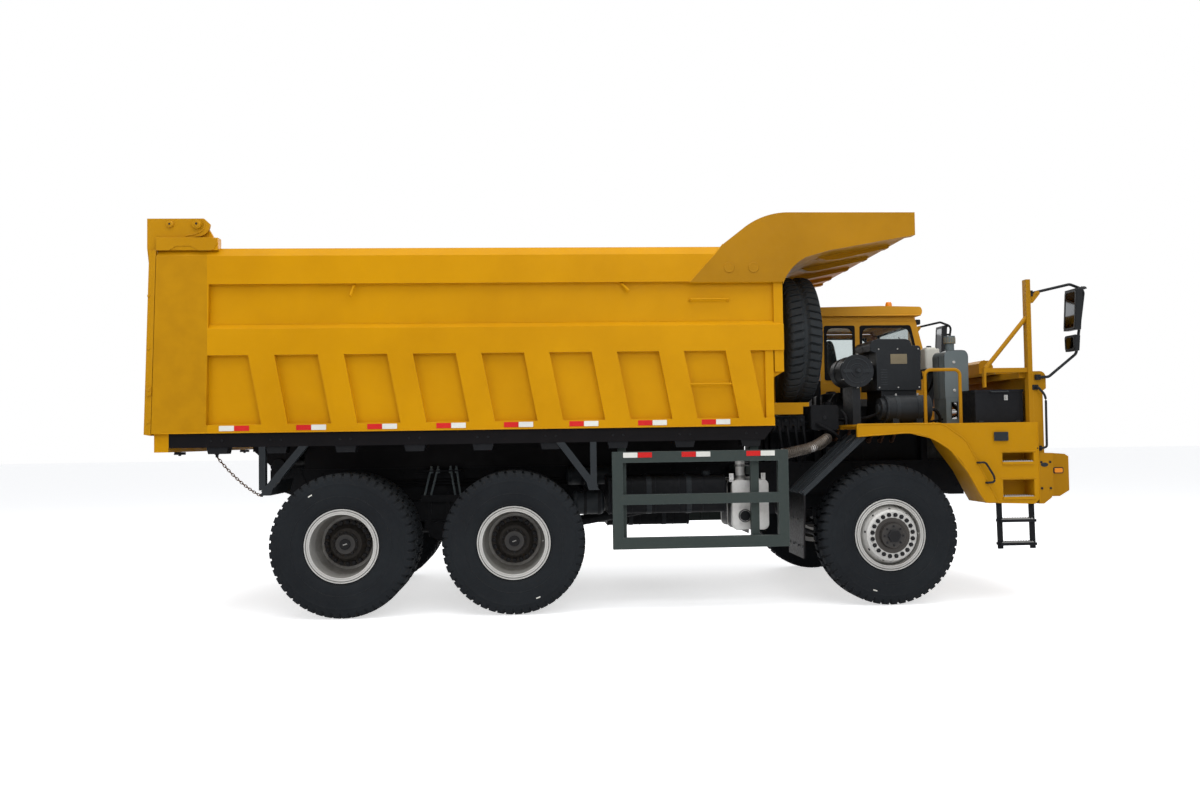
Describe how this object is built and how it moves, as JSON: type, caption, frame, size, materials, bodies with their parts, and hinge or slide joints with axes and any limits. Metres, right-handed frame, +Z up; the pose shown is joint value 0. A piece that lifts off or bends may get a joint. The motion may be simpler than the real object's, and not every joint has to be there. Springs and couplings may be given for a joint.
{
  "type": "mining dump truck",
  "caption": "Three-axle mining dump truck with a ribbed steel tipping body, canopy over an offset half cab, twin rear tyres, hoist and swinging tailgate.",
  "frame": {"origin": "on the ground under the middle of the whole truck's box", "axes": "+X forward, +Y to the driver's left, +Z up"},
  "size_m": [9.2058, 3.58, 3.887],
  "materials": {
    "yellow_paint": "satin machine enamel with dust and edge wear",
    "guard_grey": "matt grey chassis paint",
    "chassis_black": "matt black chassis paint",
    "tyre": "dull black rubber",
    "rim_silver": "silver wheel paint",
    "glass": "clear cab glass",
    "seat_cloth": "dark woven seat cloth",
    "black_plastic": "grained black plastic",
    "silencer_coat": "dull aluminised steel",
    "tank_grey": "dark grey enamel",
    "chrome_rod": "hard chrome",
    "lamp_glass": "clear lamp lens"
  },
  "bodies": {
    "chassis": {"air_drum": "chassis_black", "air_intake": "black_plastic", "battery_box": "black_plastic", "cab_glass": "glass", "cab_roof": "yellow_paint", "cab_shell": "yellow_paint", "chassis_frame": "chassis_black", "dashboard": "black_plastic", "drive_axles": "chassis_black", "drive_shafts": "chassis_black", "driver_seat": "seat_cloth", "engine_block": "chassis_black", "expansion_tank": "tank_grey", "fender_left": "yellow_paint", "fender_right": "yellow_paint", "front_axle": "chassis_black", "front_bumper": "yellow_paint", "front_cowl": "yellow_paint", "front_deck": "yellow_paint", "front_rails": "yellow_paint", "front_springs": "chassis_black", "headlamps": "lamp_glass", "mirrors": "black_plastic", "mudguards": "black_plastic", "radiator": "chassis_black", "rear_springs": "chassis_black", "side_guards": "guard_grey", "side_tanks": "chassis_black", "silencer": "silencer_coat", "spare_carrier": "yellow_paint", "spare_rim": "rim_silver", "spare_tyre": "tyre", "step_ladders": "chassis_black"},
    "dump_body": {"body_floor": "yellow_paint", "body_side_left": "yellow_paint", "body_side_right": "yellow_paint", "body_front_wall": "yellow_paint", "body_canopy": "yellow_paint", "body_mudguards": "guard_grey"},
    "tailgate": {"tailgate": "yellow_paint"},
    "cab_door": {"cab_door": "yellow_paint", "door_glass": "glass"},
    "knuckle_left": {"knuckle_left": "chassis_black"},
    "knuckle_right": {"knuckle_right": "chassis_black"},
    "tie_rod": {"tie_rod": "chassis_black"},
    "wheel_front_left": {"front_tyre_left": "tyre", "front_rim_left": "rim_silver"},
    "wheel_front_right": {"front_tyre_right": "tyre", "front_rim_right": "rim_silver"},
    "wheels_mid_left": {"mid_tyres_left": "tyre", "mid_rims_left": "rim_silver"},
    "wheels_mid_right": {"mid_tyres_right": "tyre", "mid_rims_right": "rim_silver"},
    "wheels_rear_left": {"rear_tyres_left": "tyre", "rear_rims_left": "rim_silver"},
    "wheels_rear_right": {"rear_tyres_right": "tyre", "rear_rims_right": "rim_silver"},
    "hoist_barrels": {"hoist_barrels": "chassis_black"},
    "hoist_stages": {"hoist_stages": "chrome_rod"},
    "hoist_rams": {"hoist_rams": "chrome_rod"}
  },
  "joints": [
    {"name": "bed_tip", "type": "hinge", "parent": "chassis", "child": "dump_body", "pos_m": [-3.63, 0, 1.45], "axis": [0, -1, 0], "range_deg": [0, 45]},
    {"name": "tailgate_swing", "type": "hinge", "parent": "dump_body", "child": "tailgate", "pos_m": [-4.107, 0, 3.79], "axis": [0, 1, 0], "range_deg": [0, 65]},
    {"name": "cab_door_hinge", "type": "hinge", "parent": "chassis", "child": "cab_door", "pos_m": [3.582, 1.47, 2.1], "axis": [0, 0, -1], "range_deg": [0, 70]},
    {"name": "steer_left", "type": "hinge", "parent": "chassis", "child": "knuckle_left", "pos_m": [2.58, 1.085, 0.695], "axis": [0, 0, 1], "range_deg": [-35, 35]},
    {"name": "steer_right", "type": "hinge", "parent": "chassis", "child": "knuckle_right", "pos_m": [2.58, -1.085, 0.695], "axis": [0, 0, 1], "range_deg": [-35, 35]},
    {"name": "tie_rod_ball", "type": "hinge", "parent": "knuckle_left", "child": "tie_rod", "pos_m": [2.32, 1.015, 0.545], "axis": [0, 0, 1], "range_deg": [-35, 35]},
    {"name": "spin_front_left", "type": "hinge", "parent": "knuckle_left", "child": "wheel_front_left", "pos_m": [2.58, 1.44, 0.695], "axis": [0, 1, 0], "continuous": true},
    {"name": "spin_front_right", "type": "hinge", "parent": "knuckle_right", "child": "wheel_front_right", "pos_m": [2.58, -1.44, 0.695], "axis": [0, 1, 0], "continuous": true},
    {"name": "spin_mid_left", "type": "hinge", "parent": "chassis", "child": "wheels_mid_left", "pos_m": [-1.13, 1.268, 0.695], "axis": [0, 1, 0], "continuous": true},
    {"name": "spin_mid_right", "type": "hinge", "parent": "chassis", "child": "wheels_mid_right", "pos_m": [-1.13, -1.268, 0.695], "axis": [0, 1, 0], "continuous": true},
    {"name": "spin_rear_left", "type": "hinge", "parent": "chassis", "child": "wheels_rear_left", "pos_m": [-2.77, 1.268, 0.695], "axis": [0, 1, 0], "continuous": true},
    {"name": "spin_rear_right", "type": "hinge", "parent": "chassis", "child": "wheels_rear_right", "pos_m": [-2.77, -1.268, 0.695], "axis": [0, 1, 0], "continuous": true},
    {"name": "hoist_swing", "type": "hinge", "parent": "chassis", "child": "hoist_barrels", "pos_m": [-0.65, 0, 1], "axis": [0, -1, 0], "range_deg": [0, 67.51]},
    {"name": "hoist_stage_slide", "type": "slide", "parent": "hoist_barrels", "child": "hoist_stages", "axis": [0.9237, 0, 0.3832], "range_m": [0, 1.065]},
    {"name": "hoist_ram_slide", "type": "slide", "parent": "hoist_stages", "child": "hoist_rams", "axis": [0.9237, 0, 0.3832], "range_m": [0, 1.065]}
  ],
  "couplings": [
    {"joint": "steer_right", "follows": "steer_left", "ratio": 1},
    {"joint": "tie_rod_ball", "follows": "steer_left", "ratio": -1},
    {"joint": "hoist_swing", "follows": "bed_tip", "ratio": 1.4979},
    {"joint": "hoist_stage_slide", "follows": "bed_tip", "m_per_rad": 1.3547},
    {"joint": "hoist_ram_slide", "follows": "bed_tip", "m_per_rad": 1.3547}
  ]
}
